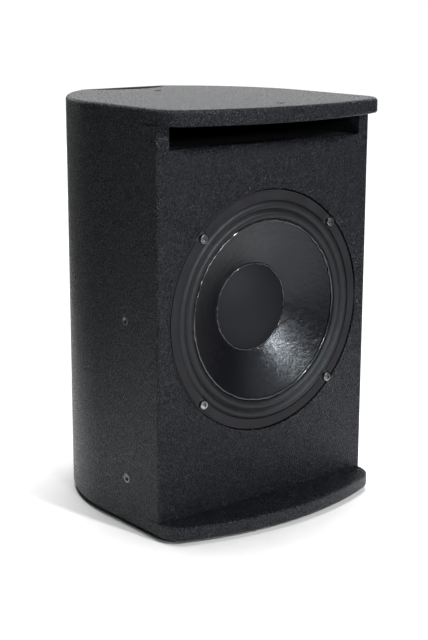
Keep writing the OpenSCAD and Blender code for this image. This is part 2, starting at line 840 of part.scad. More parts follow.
// flexible braids from the terminal strip to the back of the cone
module tinsel_leads() {
    color([0.7, 0.45, 0.25]) on_driver_axis() for (s = [-1, 1]) {
        start = [s * 14, landing_r + 5, strip_y - free_gap];
        touch_r = 84;
        touch_y = cap_edge_y - cone_slope * (touch_r - cap_r) + cone_t + 2;
        sweep(smooth_path([
            start,
            start + [0, 1, -8],
            [s * 14, (touch_r + landing_r) / 2 + 4, (touch_y + strip_y) / 2],
            [s * 14, touch_r + 2, touch_y + 7],
            [s * 14, touch_r, touch_y]
        ], 4), 0.8);
    }
}

// two-core cable from the lower socket's tags to the driver's terminals, in cabinet coordinates
module speaker_cable() {
    start = [0, body_d - plate_rebate + plate_t + socket_flange_t - socket_len - 10, plate_z - socket_pitch / 2];
    finish = [0, strip_y + strip_t + tag_h + 4, driver_z - tag_r];
    color([0.25, 0.06, 0.06]) in_cabinet() sweep(smooth_path([
        start,
        start + [0, -14, 0],
        [0, 240, 105],
        [0, 210, 88],
        [0, 175, 92],
        [0, 135, 120],
        finish + [0, 18, -10],
        finish
    ], 6), 3);
}

top_panel();
bottom_panel();
left_side_panel();
right_side_panel();
rear_panel();
front_baffle();
port_shelf();
shelf_battens();
rear_brace();
hand_hold_cup();
grip_bar();
side_lining();
rear_lining();
connector_plate();
plate_screws();
upper_socket();
lower_socket();
socket_screws();
left_inserts();
right_inserts();
top_inserts();
pole_socket();
pole_socket_screws();
rubber_feet();
foot_screws();
driver_frame();
driver_seal();
front_gasket();
driver_screws();
t_nuts();
surround();
cone();
dust_cap();
coil_former();
coil_winding();
spider();
front_plate();
magnet();
back_plate();
terminal_strip();
tinsel_leads();
speaker_cable();
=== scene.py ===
"""The looks of a stage loudspeaker: painted boards, a paper-cone driver and its rear fittings.

Lengths are millimetres in "cabinet coordinates", as on a workshop drawing: Y = 0 is the baffle's face and
Z = 0 is the bottom board's underside. add_piece() turns them into metres in the frame's own coordinates.
"""
import math

import bmesh
import bpy
from mathutils import Matrix, Vector, noise


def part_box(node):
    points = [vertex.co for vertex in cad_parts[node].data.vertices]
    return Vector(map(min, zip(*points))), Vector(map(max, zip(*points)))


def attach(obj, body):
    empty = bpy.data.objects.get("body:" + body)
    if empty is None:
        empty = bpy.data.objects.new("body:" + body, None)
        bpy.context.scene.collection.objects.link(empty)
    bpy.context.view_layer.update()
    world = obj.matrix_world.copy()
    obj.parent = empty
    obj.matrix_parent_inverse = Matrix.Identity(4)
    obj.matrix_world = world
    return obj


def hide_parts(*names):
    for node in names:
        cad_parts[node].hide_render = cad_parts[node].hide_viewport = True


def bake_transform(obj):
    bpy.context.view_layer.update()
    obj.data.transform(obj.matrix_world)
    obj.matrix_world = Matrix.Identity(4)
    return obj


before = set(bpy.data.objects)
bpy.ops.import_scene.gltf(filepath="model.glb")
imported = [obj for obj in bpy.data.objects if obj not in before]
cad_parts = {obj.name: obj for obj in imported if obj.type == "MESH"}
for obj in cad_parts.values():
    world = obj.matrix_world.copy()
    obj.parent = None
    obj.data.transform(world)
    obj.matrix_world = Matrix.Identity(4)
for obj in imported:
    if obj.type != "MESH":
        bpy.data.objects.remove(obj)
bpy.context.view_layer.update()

# ---------- sizes taken from the frame ----------

ORIGIN = Vector((0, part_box("front_baffle")[0].y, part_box("bottom_panel")[0].z))


def measured(node):
    """Lowest and highest corner of a CAD node, in cabinet coordinates."""
    low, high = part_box(node)
    return (low - ORIGIN) * 1000, (high - ORIGIN) * 1000


top_low, top_high = measured("top_panel")
baffle_low, baffle_high = measured("front_baffle")
flange_low, flange_high = measured("driver_frame")
plate_low, plate_high = measured("connector_plate")
cone_low, cone_high = measured("cone")
cap_low, cap_high = measured("dust_cap")
former_low, former_high = measured("coil_former")
bar_low, bar_high = measured("grip_bar")

HALF_W = top_high.x
LIP_D = -top_low.y
BODY_D = top_high.y
END_T = top_high.z - top_low.z
TOP_UNDER = top_low.z
INNER_HALF_W = baffle_high.x
PLY_T = baffle_high.y
SLOT_Z = baffle_high.z
REAR_HALF_W = measured("rear_panel")[1].x

CORNER_R = 35
SIDE_FLAT_D = 128
BEND_R = 225
BEND_X = HALF_W - BEND_R
HOLD_W = 130
HOLD_D = 32
POCKET_W = 116
POCKET_H = 55
POCKET_CORNER_R = 9
CUP_T = 4
SIDE_INSERTS = [(70, 61), (70, 270)]
TOP_INSERT_Y = [-20, 234]
TOP_INSERT_SUNK = 3
INSERT_R = 6.4
INSERT_BARREL_R = 5.2
INSERT_BORE_R = 3.4

TOP_ROUND = 5.5
LIP_UNDER_ROUND = 3
BOARD_ROUND = 4
PORT_ROUND = 12

AXIS_Z = (cone_low.z + cone_high.z) / 2
FRAME_R = flange_high.x
GASKET_T = flange_low.y
REBATE_R = FRAME_R + 2
REBATE_D = GASKET_T + 7
CUT_R = FRAME_R - 16.5
SCREW_RING_R = FRAME_R - 6.5
SCREW_ANGLES = (45, 135, 225, 315)
GASKET_OUT_R = FRAME_R - 1
GASKET_IN_R = GASKET_OUT_R - 12
CONE_R = cone_high.x
CONE_EDGE_Y = cone_low.y
CAP_R = cap_high.x
CAP_EDGE_Y = cap_high.y
NECK_Y = former_low.y
FORMER_R = former_high.x
CONE_T = 1.2
ROLL_H = 4
ROLL_T = 0.8
PLATE_Z = (plate_low.z + plate_high.z) / 2
SOCKET_PITCH = 56
SOCKET_Z = (PLATE_Z - SOCKET_PITCH / 2, PLATE_Z + SOCKET_PITCH / 2)
FOOT_R = 14
REAR_FOOT_X = 95
SURROUND_IN_R = CONE_R + 0.3
SPIDER_IN_R = FORMER_R + 0.4
SPIDER_FOOT_R = measured("spider")[1].x - 6

CONE_FLARE = 1.6
CAP_T = 0.8
SCREW_HEAD_H = 6
SCREW_HOLE_R = 4
SOCKET_HOLE_R = 16
POLE_HOLE_R = 19.9
LEAD_X = 14
THROUGH = 60  # more than any board's thickness, for cutters that pass right through

DRIVER_AXIS = Vector((0, 0, AXIS_Z))


# ---------- modelling tools ----------


class Pen:
    """Draws one outline of edges in a bmesh's XY plane, a straight or round stretch at a time."""

    def __init__(self, bm, x, y):
        self.bm = bm
        self.start = self.end = bm.verts.new((x, y, 0))

    def line(self, *points):
        for x, y in points:
            corner = self.bm.verts.new((x, y, 0))
            self.bm.edges.new((self.end, corner))
            self.end = corner
        return self

    def arc(self, x, y, degrees, steps=8):
        """A round stretch about (x, y), counter-clockwise where degrees is above 0."""
        swept = bmesh.ops.spin(
            self.bm, geom=[self.end], cent=(x, y, 0), axis=(0, 0, 1), angle=math.radians(degrees), steps=steps
        )
        self.end = next(v for v in swept["geom_last"] if isinstance(v, bmesh.types.BMVert))
        return self

    def close(self):
        self.bm.edges.new((self.end, self.start))
        return self

    def face(self):
        """Closes the outline and fills it."""
        self.close()
        return bmesh.ops.contextual_create(self.bm, geom=self.bm.edges[:])["faces"][0]


def move(bm, matrix):
    bmesh.ops.transform(bm, matrix=matrix, verts=bm.verts)
    return bm


def shift(bm, x=0, y=0, z=0):
    return move(bm, Matrix.Translation((x, y, z)))


def aim(bm, direction, at):
    """Turns local +Y to direction and puts the local origin at a point."""
    turn = Vector((0, 1, 0)).rotation_difference(Vector(direction)).to_matrix().to_4x4()
    return move(bm, Matrix.Translation(at) @ turn)


def spun(bm, degrees=360, steps=96):
    """Spins everything in the bmesh about the Y axis."""
    bmesh.ops.spin(
        bm, geom=bm.verts[:] + bm.edges[:] + bm.faces[:], cent=(0, 0, 0), axis=(0, 1, 0),
        angle=math.radians(degrees), steps=steps, use_merge=degrees == 360,
    )
    bmesh.ops.remove_doubles(bm, verts=bm.verts, dist=1e-3)
    return tidy_normals(bm)


def tidy_normals(bm):
    bmesh.ops.recalc_face_normals(bm, faces=bm.faces)
    return bm


def extruded(bm, thickness, z=0):
    """Makes a board of the bmesh's one face, from height z up by its thickness."""
    up = bmesh.ops.extrude_face_region(bm, geom=bm.faces[:])["geom"]
    bmesh.ops.translate(bm, vec=(0, 0, thickness), verts=[v for v in up if isinstance(v, bmesh.types.BMVert)])
    return tidy_normals(shift(bm, z=z))


def soften(bm, edges, radius, steps=4):
    bmesh.ops.bevel(
        bm, geom=list(edges), offset=radius, segments=steps,
        profile=0.5, affect="EDGES", material=-1, clamp_overlap=True,
    )
    return bm


def edges_where(bm, test):
    """The edges whose two ends both pass a test of their place."""
    return [e for e in bm.edges if all(test(v.co) for v in e.verts)]


def polar(angle, radius, y=0):
    """A point beside the driver's axis, by its angle from the right, its radius and its depth."""
    turn = math.radians(angle)
    return DRIVER_AXIS + Vector((radius * math.cos(turn), y, radius * math.sin(turn)))


def set_round_driver(bm, degrees):
    """Moves a shape made about the origin to the driver's axis, turned from the right by an angle."""
    return move(bm, Matrix.Translation(DRIVER_AXIS) @ Matrix.Rotation(math.radians(-degrees), 4, "Y"))


def laid_upright(bm, y):
    """Stands what lies in the XY plane up against the plane at depth y, its upper side to the front."""
    return tidy_normals(move(bm, Matrix.Translation((0, y, 0)) @ Matrix.Rotation(math.radians(90), 4, "X")))


def rod(radius, length, direction, at, steps=48):
    """A cylinder that starts at a point and runs along direction."""
    bm = bmesh.new()
    bmesh.ops.create_cone(bm, cap_ends=True, segments=steps, radius1=radius, radius2=radius, depth=length)
    move(bm, Matrix.Translation((0, length / 2, 0)) @ Matrix.Rotation(math.radians(-90), 4, "X"))
    return tidy_normals(aim(bm, direction, at))


def block(low, high):
    bm = bmesh.new()
    bmesh.ops.create_cube(bm, size=1)
    low, high = Vector(low), Vector(high)
    bmesh.ops.scale(bm, vec=high - low, verts=bm.verts)
    return move(bm, Matrix.Translation((low + high) / 2))


def joined(*parts):
    """One bmesh that holds all of the given ones."""
    whole = bmesh.new()
    for part in parts:
        mesh = bpy.data.meshes.new("part")
        part.to_mesh(mesh)
        whole.from_mesh(mesh)
        bpy.data.meshes.remove(mesh)
        part.free()
    return whole


def copied(bm, matrix):
    return move(bm.copy(), matrix)


def as_object(bm):
    mesh = bpy.data.meshes.new("blank")
    bm.to_mesh(mesh)
    bm.free()
    blank = bpy.data.objects.new("blank", mesh)
    bpy.context.scene.collection.objects.link(blank)
    return blank


def carved(bm, *cutters):
    """The bmesh with each cutter's shape taken out of it."""
    blank = as_object(bm)
    tools = [as_object(cutter) for cutter in cutters]
    for tool in tools:
        cut = blank.modifiers.new("cut", "BOOLEAN")
        cut.operation = "DIFFERENCE"
        cut.solver = "EXACT"
        cut.object = tool
    result = bpy.data.meshes.new_from_object(blank.evaluated_get(bpy.context.evaluated_depsgraph_get()))
    left = bmesh.new()
    left.from_mesh(result)
    bpy.data.meshes.remove(result)
    for used in [blank, *tools]:
        mesh = used.data
        bpy.data.objects.remove(used)
        bpy.data.meshes.remove(mesh)
    bmesh.ops.remove_doubles(left, verts=left.verts, dist=1e-3)
    return left


def add_piece(name, bm, finish, body="cabinet", stands_for=(), sharp=35, flat_faces=False):
    """Puts a finished bmesh into the scene as one piece that rides on a body."""
    move(bm, Matrix.Translation(ORIGIN) @ Matrix.Scale(0.001, 4))
    mesh = bpy.data.meshes.new(name)
    bm.to_mesh(mesh)
    bm.free()
    mesh.shade_smooth()
    mesh.set_sharp_from_angle(angle=math.radians(sharp))
    mesh.materials.append(finish)
    piece = bpy.data.objects.new(name, mesh)
    bpy.context.scene.collection.objects.link(piece)
    if flat_faces:
        weighting = piece.modifiers.new("flat_faces", "WEIGHTED_NORMAL")
        weighting.keep_sharp = True
    if body:
        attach(piece, body)
    if stands_for:
        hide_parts(*stands_for)
    return piece


# ---------- finishes ----------


COOL_SHEEN = (0.84, 0.92, 1.0, 1)


class Finish:
    """One procedural material, whose patterns follow the piece's own coordinates in metres."""

    def __init__(self, name, colour, roughness, **sockets):
        self.material = bpy.data.materials.new(name)
        self.material.use_nodes = True
        self.tree = self.material.node_tree
        self.shader = self.tree.nodes["Principled BSDF"]
        self.set(Base_Color=(*colour, 1), Roughness=roughness, **sockets)
        self.at = self.node("ShaderNodeTexCoord").outputs["Object"]

    def set(self, **sockets):
        """Gives the shader's sockets constant values, or links them."""
        for name, value in sockets.items():
            self.feed(self.shader.inputs[name.replace("_", " ")], value)

    def feed(self, socket, value):
        if isinstance(value, bpy.types.NodeSocket):
            self.tree.links.new(value, socket)
        else:
            socket.default_value = value

    def node(self, kind, inputs=(), **settings):
        made = self.tree.nodes.new(kind)
        for name, value in settings.items():
            setattr(made, name, value)
        for name, value in dict(inputs).items():
            self.feed(made.inputs[name], value)
        return made

    def stretched(self, x=1, y=1, z=1, turn=(0, 0, 0)):
        rotation = [math.radians(a) for a in turn]
        inputs = {"Vector": self.at, "Scale": (x, y, z), "Rotation": rotation}
        return self.node("ShaderNodeMapping", inputs).outputs["Vector"]

    def noise(self, scale, detail=3, roughness=0.5, at=None):
        inputs = {"Vector": at or self.at, "Scale": scale, "Detail": detail, "Roughness": roughness}
        return self.node("ShaderNodeTexNoise", inputs).outputs["Fac"]

    def cells(self, scale, smoothness=0.5, at=None):
        inputs = {"Vector": at or self.at, "Scale": scale, "Smoothness": smoothness}
        return self.node("ShaderNodeTexVoronoi", inputs, feature="SMOOTH_F1").outputs["Distance"]

    def waves(self, scale, direction, distortion=0, at=None):
        inputs = {"Vector": at or self.at, "Scale": scale, "Distortion": distortion}
        return self.node("ShaderNodeTexWave", inputs, bands_direction=direction).outputs["Fac"]

    def maths(self, operation, a, b):
        return self.node("ShaderNodeMath", {0: a, 1: b}, operation=operation).outputs[0]

    def spread(self, value, low, high, to_low=0, to_high=1):
        inputs = {"Value": value, "From Min": low, "From Max": high, "To Min": to_low, "To Max": to_high}
        return self.node("ShaderNodeMapRange", inputs).outputs["Result"]

    def mixed(self, factor, dark, light):
        pick = self.node("ShaderNodeMix", data_type="RGBA")
        colours = [s for s in pick.inputs if s.type == "RGBA"]
        self.feed(pick.inputs["Factor"], factor)
        for socket, colour in zip(colours, (dark, light)):
            self.feed(socket, colour if isinstance(colour, bpy.types.NodeSocket) else (*colour, 1))
        return next(s for s in pick.outputs if s.type == "RGBA")

    def bump(self, height, depth, under=None):
        """Raises the surface by depth, in metres, times height."""
        inputs = {"Height": height, "Distance": depth, "Strength": 1}
        if under:
            inputs["Normal"] = under
        return self.node("ShaderNodeBump", inputs).outputs["Normal"]


def textured_paint():
    """Thick sprayed coating: close-set rounded grains, some of them glossier than the rest."""
    f = Finish("textured_paint", (0.007, 0.0075, 0.0095), 0.3, Specular_Tint=COOL_SHEEN)
    grains = f.cells(500, 0.2)
    grit = f.noise(800, 2, 0.7)
    gloss = f.noise(680, 1, 0.5)
    f.set(
        Base_Color=f.mixed(f.spread(grit, 0.35, 0.7), (0.0032, 0.0034, 0.0048), (0.0095, 0.0102, 0.0132)),
        Specular_IOR_Level=f.spread(gloss, 0.38, 0.66, 0.1, 0.62),
        Roughness=f.spread(f.noise(380, 2), 0.35, 0.65, 0.22, 0.36),
        Normal=f.bump(grit, 0.0016, f.bump(f.maths("MULTIPLY", grains, -1), 0.0018)),
    )
    return f.material


def thin_paint():
    """Thin matt black paint over wood, as inside the port."""
    f = Finish("thin_paint", (0.008, 0.008, 0.008), 0.75, Specular_IOR_Level=0.3)
    grain = f.noise(90, 4, 0.6, f.stretched(x=0.15))
    f.set(Roughness=f.spread(grain, 0.3, 0.7, 0.65, 0.85), Normal=f.bump(grain, 0.0003))
    return f.material


def birch_plywood():
    f = Finish("birch_plywood", (0.55, 0.4, 0.24), 0.6)
    grain = f.noise(220, 5, 0.6, f.stretched(x=0.06))
    layers = f.spread(f.waves(210, "Z"), 0.35, 0.65)
    normal = f.node("ShaderNodeNewGeometry").outputs["Normal"]
    flat = f.node("ShaderNodeSeparateXYZ", {"Vector": normal}).outputs["Z"]
    on_edge = f.maths("LESS_THAN", f.maths("ABSOLUTE", flat, 0), 0.5)
    face = f.mixed(f.spread(grain, 0.3, 0.75), (0.45, 0.3, 0.16), (0.68, 0.52, 0.33))
    edge = f.mixed(layers, (0.3, 0.18, 0.09), (0.6, 0.45, 0.28))
    f.set(Base_Color=f.mixed(on_edge, face, edge), Normal=f.bump(grain, 0.0002))
    return f.material


def moulded(name, colour, roughness=0.45, pits=0.00008):
    """Moulded plastic with a fine spark texture."""
    f = Finish(name, colour, roughness)
    spark = f.noise(1800, 2, 0.6)
    wear = f.noise(35, 3)
    f.set(Roughness=f.spread(wear, 0.3, 0.7, roughness - 0.06, roughness + 0.08), Normal=f.bump(spark, pits))
    return f.material


def open_cell_foam():
    f = Finish("open_cell_foam", (0.05, 0.05, 0.055), 0.95, Specular_IOR_Level=0.15, Sheen_Weight=0.2)
    pores = f.cells(700, 0.2)
    tone = f.mixed(f.spread(pores, 0.1, 0.6), (0.018, 0.018, 0.02), (0.075, 0.075, 0.08))
    f.set(Base_Color=tone, Normal=f.bump(pores, 0.0012))
    return f.material


def metal(name, colour, roughness, brush=(1, 1, 1), metallic=1.0, depth=0.00004):
    """Plated or machined metal, with tool marks drawn out along the brush's short way."""
    f = Finish(name, colour, roughness, Metallic=metallic)
    marks = f.noise(900, 4, 0.6, f.stretched(*brush))
    cloud = f.noise(60, 3)
    shade = [c * 0.72 for c in colour]
    f.set(
        Base_Color=f.mixed(f.spread(cloud, 0.3, 0.7), shade, colour),
        Roughness=f.spread(marks, 0.3, 0.7, roughness * 0.8, min(1, roughness * 1.25)),
        Normal=f.bump(marks, depth),
    )
    return f.material


def powder_coat():
    f = Finish("powder_coat", (0.02, 0.02, 0.021), 0.5)
    peel = f.noise(520, 2, 0.5)
    f.set(Roughness=f.spread(f.noise(40), 0.3, 0.7, 0.44, 0.56), Normal=f.bump(peel, 0.00025))
    return f.material


def gasket_board():
    """Soft matt facing, pressed flat, lighter than the paint."""
    f = Finish("gasket_board", (0.017, 0.017, 0.0185), 0.7, Specular_IOR_Level=0.15)
    fibre = f.noise(700, 4, 0.65)
    tone = f.mixed(f.spread(f.noise(45, 3), 0.3, 0.7), (0.0115, 0.0115, 0.0138), (0.0165, 0.0165, 0.0195))
    f.set(Base_Color=tone, Normal=f.bump(fibre, 0.00012))
    return f.material


def doped_cloth():
    """Woven cloth pressed to shape and sealed with a tacky coating that fills most of the weave."""
    f = Finish("doped_cloth", (0.009, 0.009, 0.010), 0.42, Specular_IOR_Level=0.3, Specular_Tint=COOL_SHEEN)
    weave = f.maths("MULTIPLY", f.waves(340, "X", 0.4), f.waves(340, "Z", 0.4))
    pools = f.noise(130, 3, 0.6)
    f.set(
        Roughness=f.spread(pools, 0.3, 0.7, 0.34, 0.5),
        Normal=f.bump(weave, 0.00010, f.bump(pools, 0.0003)),
    )
    return f.material


def coated_cone_paper():
    """Pressed paper under a brushed sealing coat that dried in soft ripples."""
    f = Finish("coated_cone_paper", (0.006, 0.006, 0.007), 0.4)
    fibre = f.noise(620, 4, 0.7)
    ripples = f.noise(120, 4, 0.6)
    f.set(
        Base_Color=f.mixed(f.spread(fibre, 0.3, 0.75), (0.003, 0.003, 0.004), (0.006, 0.006, 0.0078)),
        Specular_IOR_Level=0.32,
        Specular_Tint=COOL_SHEEN,
        Roughness=f.spread(ripples, 0.36, 0.64, 0.17, 0.27),
        Normal=f.bump(fibre, 0.00022, f.bump(ripples, 0.0005)),
    )
    return f.material


def felted_cap_paper():
    f = Finish("felted_cap_paper", (0.011, 0.011, 0.0125), 0.62)
    felt = f.noise(650, 5, 0.7)
    f.set(
        Specular_IOR_Level=0.18,
        Specular_Tint=COOL_SHEEN,
        Base_Color=f.mixed(f.spread(felt, 0.3, 0.7), (0.006, 0.006, 0.0072), (0.010, 0.010, 0.0118)),
        Normal=f.bump(felt, 0.00022, f.bump(f.noise(60, 2), 0.0004)),
    )
    return f.material


def cured_glue():
    f = Finish("cured_glue", (0.008, 0.008, 0.009), 0.2, Coat_Weight=0.7, Coat_Roughness=0.12)
    f.set(Normal=f.bump(f.noise(260, 3, 0.6), 0.0003))
    return f.material


def woven_spider_cloth():
    f = Finish("woven_spider_cloth", (0.55, 0.4, 0.18), 0.7)
    weave = f.maths("MULTIPLY", f.waves(260, "X"), f.waves(260, "Z"))
    f.set(Base_Color=f.mixed(weave, (0.3, 0.2, 0.07), (0.62, 0.46, 0.22)), Normal=f.bump(weave, 0.0004))
    return f.material


def wound_wire():
    f = Finish("wound_wire", (0.6, 0.28, 0.1), 0.3, Metallic=1.0)
    turns = f.waves(400, "Y")
    f.set(Base_Color=f.mixed(turns, (0.25, 0.09, 0.03), (0.72, 0.36, 0.15)), Normal=f.bump(turns, 0.0003))
    return f.material


def copper_braid():
    f = Finish("copper_braid", (0.6, 0.35, 0.2), 0.4, Metallic=1.0)
    strands = f.maths("MULTIPLY", f.waves(500, "DIAGONAL"), f.waves(500, "X"))
    f.set(Base_Color=f.mixed(strands, (0.3, 0.15, 0.08), (0.75, 0.48, 0.3)), Normal=f.bump(strands, 0.0003))
    return f.material


def sintered_ferrite():
    f = Finish("sintered_ferrite", (0.05, 0.05, 0.052), 0.6)
    grit = f.noise(500, 5, 0.7)
    tone = f.mixed(f.spread(grit, 0.3, 0.7), (0.035, 0.035, 0.037), (0.075, 0.075, 0.08))
    f.set(Base_Color=tone, Normal=f.bump(grit, 0.0002))
    return f.material


def phenolic_board():
    f = Finish("phenolic_board", (0.3, 0.17, 0.06), 0.5)
    weave = f.waves(300, "X", 1.5)
    f.set(Base_Color=f.mixed(weave, (0.22, 0.12, 0.04), (0.36, 0.22, 0.09)), Normal=f.bump(weave, 0.0001))
    return f.material


def soft_rubber(name="soft_rubber", colour=(0.018, 0.018, 0.018), roughness=0.7):
    f = Finish(name, colour, roughness, Specular_IOR_Level=0.4)
    bloom = f.noise(70, 4, 0.6)
    f.set(
        Roughness=f.spread(bloom, 0.3, 0.7, roughness - 0.1, roughness + 0.12),
        Normal=f.bump(f.noise(900), 0.00012),
    )
    return f.material


PAINT = textured_paint()
PORT_PAINT = thin_paint()
PLYWOOD = birch_plywood()
FOAM = open_cell_foam()
CUP_PLASTIC = moulded("pitted_cup_plastic", (0.014, 0.014, 0.014), 0.55, 0.0002)
PLATE = metal("black_anodised_plate", (0.02, 0.02, 0.021), 0.42, (1, 1, 0.06), 0.6)
SOCKET_PLASTIC = moulded("black_socket_plastic", (0.016, 0.016, 0.018), 0.36)
BLACK_ZINC = metal("black_zinc", (0.05, 0.05, 0.052), 0.38)
BAR_STEEL = metal("black_painted_steel", (0.012, 0.012, 0.0125), 0.5, metallic=0.0)
BRIGHT_ZINC = metal("bright_zinc", (0.62, 0.62, 0.64), 0.28)
SCREW_STEEL = metal("oiled_screw_steel", (0.32, 0.32, 0.335), 0.22)
DULL_ZINC = metal("dull_zinc", (0.27, 0.27, 0.285), 0.42)
# Near-black for the top inserts is painted shade: it stands in for the shadow in their holes.
INSERT_SHADE_BLACK = metal("insert_painted_shade_black", (0.006, 0.006, 0.006), 0.6, metallic=0.0)
PLATE_STEEL = metal("plated_steel", (0.45, 0.45, 0.46), 0.35)
RUBBER = soft_rubber()
POWDER_COAT = powder_coat()
GASKET = gasket_board()
SURROUND = doped_cloth()
CONE_PAPER = coated_cone_paper()
CAP_PAPER = felted_cap_paper()
GLUE = cured_glue()
FORMER_FILM = moulded("amber_film", (0.5, 0.3, 0.1), 0.3, 0.00003)
WIRE = wound_wire()
SPIDER_CLOTH = woven_spider_cloth()
FERRITE = sintered_ferrite()
BOARD = phenolic_board()
BRAID = copper_braid()
CABLE_JACKET = soft_rubber("cable_jacket", (0.1, 0.015, 0.012), 0.5)


# ---------- painted boards ----------


def end_board(with_hand_hold):
    """The bowed top or bottom board, lying on z = 0, with square edges."""
    arc_r = ((HALF_W - CORNER_R) ** 2 + LIP_D**2 - CORNER_R**2) / (2 * (LIP_D - CORNER_R))
    bow = math.degrees(math.atan2(HALF_W - CORNER_R, arc_r - LIP_D))
    bend = math.degrees(math.asin((BODY_D - SIDE_FLAT_D) / BEND_R))
    bm = bmesh.new()
    pen = Pen(bm, -HALF_W, 0)
    pen.arc(CORNER_R - HALF_W, 0, 90 - bow, 14)
    pen.arc(0, arc_r - LIP_D, 2 * bow, 48)
    pen.arc(HALF_W - CORNER_R, 0, 90 - bow, 14)
    pen.line((HALF_W, SIDE_FLAT_D))
    pen.arc(BEND_X, SIDE_FLAT_D, bend, 40)
    if with_hand_hold:
        crescent_r = (HOLD_W**2 / 4 + HOLD_D**2) / (2 * HOLD_D)
        reach = math.degrees(math.asin(HOLD_W / 2 / crescent_r))
        pen.line((HOLD_W / 2, BODY_D))
        pen.arc(0, BODY_D - HOLD_D + crescent_r, -2 * reach, 36)
    pen.line((-BEND_X - BEND_R * math.cos(math.radians(bend)), BODY_D))
    pen.arc(-BEND_X, SIDE_FLAT_D, bend, 40)
    pen.face()
    return extruded(bm, END_T)


def soften_end_board(bm, outer_z, inner_z):
    """Rounds the whole outer rim and, ahead of the baffle, the lip's inner edge."""
    rim = edges_where(bm, lambda c: abs(c.z - outer_z) < 0.01)
    soften(bm, rim, TOP_ROUND, 5)
    lip = edges_where(bm, lambda c: abs(c.z - inner_z) < 0.01 and c.y < 0.01)
    return soften(bm, lip, LIP_UNDER_ROUND, 3)


def insert_seat(at, direction, sunk=0):
    """The stepped hole that a threaded insert sits in."""
    at, direction = Vector(at), Vector(direction)
    return [
        rod(INSERT_R + 0.1, 10, direction, at - direction * (1.1 + sunk)),
        rod(INSERT_BARREL_R + 0.1, THROUGH, direction, at - direction * (THROUGH / 2)),
    ]


def side_board(side):
    bm = bmesh.new()
    bend = math.degrees(math.asin((BODY_D - SIDE_FLAT_D) / BEND_R))
    inner_r = BEND_R - PLY_T
    inner_bend = math.degrees(math.acos((REAR_HALF_W - BEND_X) / inner_r))
    inner_y = SIDE_FLAT_D + inner_r * math.sin(math.radians(inner_bend))
    pen = Pen(bm, INNER_HALF_W, 0).line((HALF_W - BOARD_ROUND, 0))
    pen.arc(HALF_W - BOARD_ROUND, BOARD_ROUND, 90, 6)
    pen.line((HALF_W, SIDE_FLAT_D))
    pen.arc(BEND_X, SIDE_FLAT_D, bend, 40)
    pen.line((REAR_HALF_W, BODY_D), (REAR_HALF_W, inner_y))
    pen.arc(BEND_X, SIDE_FLAT_D, -inner_bend, 30)
    pen.face()
    extruded(bm, TOP_UNDER - END_T, END_T)
    if side < 0:
        move(bm, Matrix.Scale(-1, 4, (1, 0, 0)))
        tidy_normals(bm)
    seats = [seat for y, z in SIDE_INSERTS for seat in insert_seat((side * HALF_W, y, z), (side, 0, 0))]
    return carved(bm, *seats)


def baffle_board():
    bm = block((-INNER_HALF_W, 0, END_T), (INNER_HALF_W, PLY_T, SLOT_Z))
    back, ahead = (0, 1, 0), 5
    start = DRIVER_AXIS - Vector((0, ahead, 0))
    cutters = [
        rod(REBATE_R, REBATE_D + ahead, back, start, 180),
        rod(CUT_R, THROUGH, back, start, 180),
        rounded_port_edge(),
    ]
    cutters += [rod(SCREW_HOLE_R, THROUGH, back, polar(a, SCREW_RING_R), 16) for a in SCREW_ANGLES]
    return carved(bm, *cutters)


def rounded_port_edge():
    """The wood that a round-over bit with a bearing takes off the baffle's top edge, short of both ends."""
    bearing_r = 40
    stop_x = INNER_HALF_W - 40
    bm = bmesh.new()
    pen = Pen(bm, 0, -2).line((bearing_r + PORT_ROUND, -2), (bearing_r + PORT_ROUND, 0))
    pen.arc(bearing_r + PORT_ROUND, PORT_ROUND, -90, 8)
    pen.line((bearing_r, PLY_T + 1), (0, PLY_T + 1))
    spun(bm, steps=128)
    geometry = bm.verts[:] + bm.edges[:] + bm.faces[:]
    bmesh.ops.bisect_plane(bm, geom=geometry, plane_co=(0, 0, 0), plane_no=(1, 0, 0))
    for vertex in bm.verts:
        vertex.co.x += stop_x if vertex.co.x > 1e-4 else -stop_x if vertex.co.x < -1e-4 else 0
    return shift(bm, z=SLOT_Z + bearing_r)


def rear_board():
    """The rear board, with the finger pocket's opening at its top and a rebate for the connector plate."""
    bm = bmesh.new()
    x, low = POCKET_W / 2, TOP_UNDER - POCKET_H
    corner = POCKET_CORNER_R
    pen = Pen(bm, -REAR_HALF_W, END_T)
    pen.line((REAR_HALF_W, END_T), (REAR_HALF_W, TOP_UNDER), (x, TOP_UNDER), (x, low + corner))
    pen.arc(x - corner, low + corner, -90, 6)
    pen.line((corner - x, low))
    pen.arc(corner - x, low + corner, -90, 6)
    pen.line((-x, TOP_UNDER), (-REAR_HALF_W, TOP_UNDER))
    pen.face()
    extruded(bm, PLY_T)
    mouth = edges_where(bm, lambda c: abs(c.z) < 0.01 and abs(c.x) < x + 0.01 and c.y > low - 0.01)
    soften(bm, mouth, BOARD_ROUND, 4)
    laid_upright(bm, BODY_D)
    rebate_y = measured("connector_plate")[0].y
    gap, reach = 0.25, 30
    rebate = rounded_block(plate_low.x - gap, plate_low.z - gap, plate_high.x + gap, plate_high.z + gap, 6)
    extruded(rebate, reach)
    laid_upright(rebate, rebate_y + reach)
    back, screw_inset, pilot_r = (0, 1, 0), 7, 2.2
    cutters = [rebate, *[rod(SOCKET_HOLE_R, THROUGH, back, (0, BODY_D - 40, z)) for z in SOCKET_Z]]
    for x in (-1, 1):
        for z in (-1, 1):
            screw_x = x * (plate_high.x - screw_inset)
            screw_z = PLATE_Z + z * (plate_high.z - PLATE_Z - screw_inset)
            cutters.append(rod(pilot_r, 30, back, (screw_x, BODY_D - 16, screw_z), 16))
    return carved(bm, *cutters)


